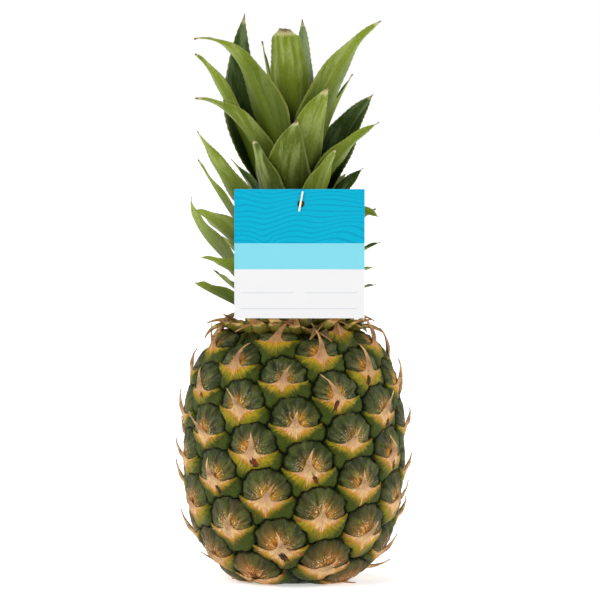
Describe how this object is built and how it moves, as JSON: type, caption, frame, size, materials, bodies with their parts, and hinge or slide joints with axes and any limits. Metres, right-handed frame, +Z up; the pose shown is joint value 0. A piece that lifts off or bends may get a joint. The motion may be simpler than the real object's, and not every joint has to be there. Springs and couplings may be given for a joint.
{
  "type": "pineapple",
  "caption": "Whole ripe pineapple standing on its cut base, with its crown of arching leaves and a blank square card tag pinned to one leaf.",
  "frame": {"origin": "middle of the small flat spot that the fruit stands on", "axes": "+Z up the fruit's axis to the crown, -Y the front that the tag faces, +X to the right seen from the front"},
  "size_m": [0.1251, 0.1256, 0.3102],
  "materials": {
    "rind": "waxy green and tan rind, fruitlets domed with pale bract spines",
    "stem": "pale green fibrous stem",
    "leaf": "satin waxy leaf with a pale bloom and dry brown tip",
    "card": "coated card, printed in plain bands of blue with a pale writing panel",
    "pin": "moulded natural nylon"
  },
  "bodies": {
    "root": {"fruit": "rind", "crown_stem": "stem", "crown_leaf_01": "leaf", "crown_leaf_02": "leaf", "crown_leaf_03": "leaf", "crown_leaf_04": "leaf", "crown_leaf_05": "leaf", "crown_leaf_06": "leaf", "crown_leaf_07": "leaf", "crown_leaf_08": "leaf", "crown_leaf_09": "leaf", "crown_leaf_10": "leaf", "crown_leaf_11": "leaf", "crown_leaf_12": "leaf", "crown_leaf_13": "leaf", "crown_leaf_14": "leaf", "crown_leaf_15": "leaf", "crown_leaf_16": "leaf", "crown_leaf_17": "leaf", "crown_leaf_18": "leaf", "crown_leaf_19": "leaf", "crown_leaf_20": "leaf", "crown_leaf_21": "leaf", "crown_leaf_22": "leaf", "crown_leaf_23": "leaf", "crown_leaf_24": "leaf", "crown_leaf_25": "leaf", "crown_leaf_26": "leaf", "crown_leaf_27": "leaf", "crown_leaf_28": "leaf", "crown_leaf_29": "leaf", "crown_leaf_30": "leaf", "crown_leaf_31": "leaf", "crown_leaf_32": "leaf", "crown_leaf_33": "leaf", "crown_leaf_34": "leaf", "crown_leaf_35": "leaf", "crown_leaf_36": "leaf", "crown_leaf_37": "leaf", "crown_leaf_38": "leaf", "crown_leaf_39": "leaf", "crown_leaf_40": "leaf", "crown_leaf_41": "leaf", "crown_leaf_42": "leaf", "crown_leaf_43": "leaf", "crown_leaf_44": "leaf", "crown_leaf_45": "leaf", "crown_leaf_46": "leaf", "tag_card": "card", "tag_pin": "pin"}
  },
  "joints": []
}
